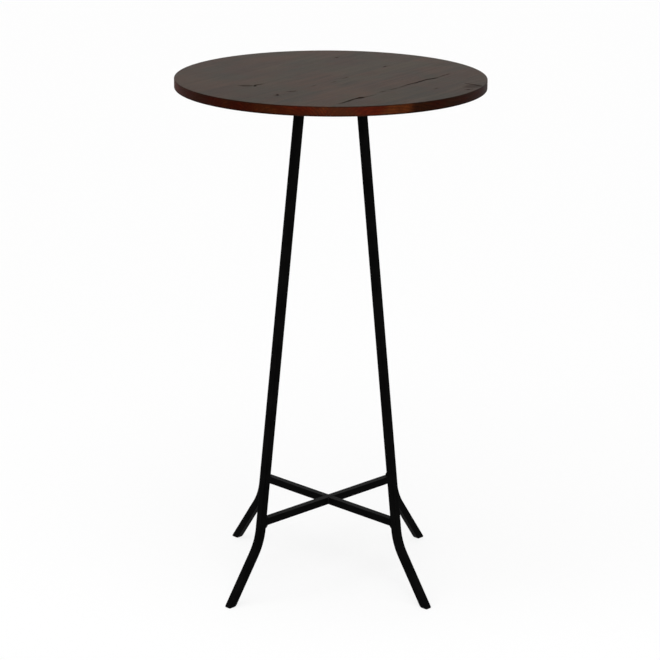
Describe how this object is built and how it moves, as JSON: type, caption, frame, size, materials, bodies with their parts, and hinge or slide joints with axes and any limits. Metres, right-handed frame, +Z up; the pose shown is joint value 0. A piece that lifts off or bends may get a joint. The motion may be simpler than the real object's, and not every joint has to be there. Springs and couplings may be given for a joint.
{
  "type": "bar table",
  "caption": "Bar-height table with a round solid wood top on slim black square-tube legs that bend outwards near the floor and are tied by a cross stretcher.",
  "frame": {"origin": "On the floor, under the middle of the round top.", "axes": "+Z up, -Y towards the front as pictured, +X to the right; the legs stand on the diagonals between X and Y."},
  "size_m": [0.65, 0.65, 1.1],
  "materials": {
    "top_wood": "dark reddish brown stain under satin lacquer",
    "black_steel": "black powder coat, fine satin",
    "weld_metal": "black powder coat over weld beads",
    "zinc_plated_steel": "bright zinc plating",
    "black_plastic": "matte moulded plastic"
  },
  "bodies": {
    "root": {"top_board_1": "top_wood", "top_board_2": "top_wood", "top_board_3": "top_wood", "top_board_4": "top_wood", "top_board_5": "top_wood", "mounting_plate": "black_steel", "plate_washers": "zinc_plated_steel", "plate_screws": "zinc_plated_steel", "leg_back_right": "black_steel", "leg_back_left": "black_steel", "leg_front_left": "black_steel", "leg_front_right": "black_steel", "stretcher_through": "black_steel", "stretcher_back_left": "black_steel", "stretcher_front_right": "black_steel", "plate_weld_beads": "weld_metal", "stretcher_weld_beads": "weld_metal", "crossing_weld_beads": "weld_metal", "foot_glide_back_right": "black_plastic", "foot_glide_back_left": "black_plastic", "foot_glide_front_left": "black_plastic", "foot_glide_front_right": "black_plastic"}
  },
  "joints": []
}
